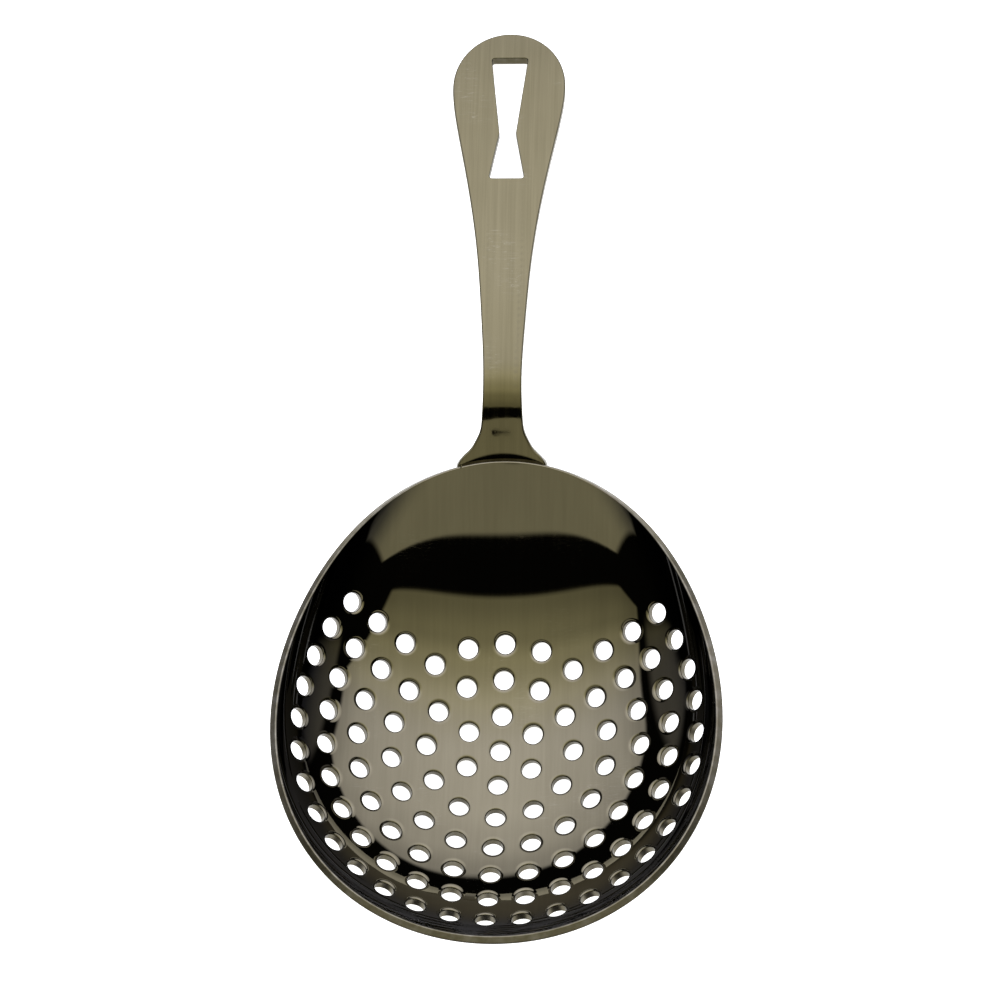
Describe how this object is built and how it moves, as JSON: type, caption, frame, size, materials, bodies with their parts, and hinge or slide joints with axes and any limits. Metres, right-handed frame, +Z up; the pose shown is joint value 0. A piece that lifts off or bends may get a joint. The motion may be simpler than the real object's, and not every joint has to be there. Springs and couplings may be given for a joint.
{
  "type": "julep strainer",
  "caption": "Perforated egg-shaped dish with a bent stamped handle, laid in a glass to hold back ice while a drink is poured.",
  "frame": {"origin": "on the surface the strainer lies on, under the middle of its bounding box", "axes": "+Y from the dish to the handle's tip, +Z up out of the open dish, +X to the right seen from the dish looking along the handle"},
  "size_m": [0.0738, 0.1652, 0.0258],
  "materials": {
    "plated_bowl": "polished gunmetal plating on stainless sheet, fine brushed streaks",
    "plated_handle": "polished gunmetal plating on stainless strip, fine grain along its length",
    "weld_metal": "plated over, slightly dull"
  },
  "bodies": {
    "root": {"bowl": "plated_bowl", "handle": "plated_handle", "spot_welds": "weld_metal"}
  },
  "joints": []
}
